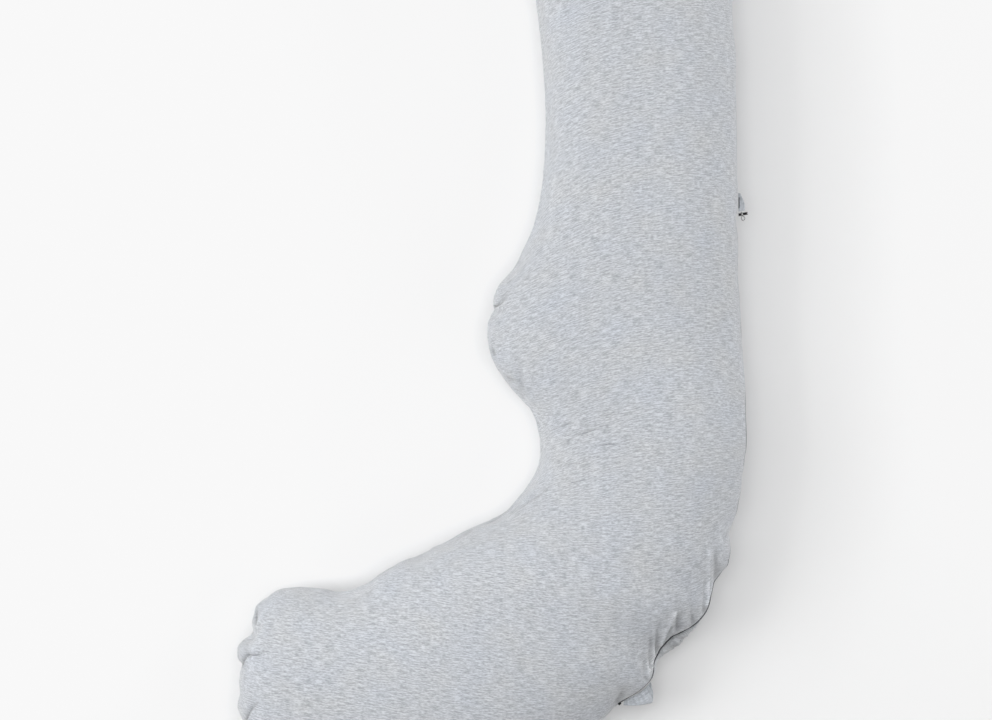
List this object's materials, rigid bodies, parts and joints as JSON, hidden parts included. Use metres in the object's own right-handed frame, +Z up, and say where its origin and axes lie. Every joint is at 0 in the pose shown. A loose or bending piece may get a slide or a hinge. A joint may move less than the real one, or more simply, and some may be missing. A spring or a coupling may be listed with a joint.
{
  "type": "body pillow",
  "caption": "Curved full-length body pillow with a plump jersey cover, a rounded lobe on its inner side and a zip in its outer seam.",
  "frame": {"origin": "on the surface the pillow lies on, under the middle of its box", "axes": "+X towards the outer side of the curve, +Y towards the head, +Z up"},
  "size_m": [0.5862, 1.3038, 0.1601],
  "materials": {
    "jersey": "pale heather-grey knitted jersey, matt, with short darker and lighter flecks along its courses",
    "flap_jersey": "the same jersey folded double, its ribs showing",
    "zip_coil": "dark grey nylon coil",
    "black_enamel": "black enamel, satin",
    "bright_metal": "bright plated wire"
  },
  "bodies": {
    "root": {"pillow": "jersey", "zip": "zip_coil", "zip_slider": "black_enamel", "zip_pull": "bright_metal", "zip_stop": "black_enamel", "flap_upper": "flap_jersey", "flap_lower": "flap_jersey"}
  },
  "joints": []
}
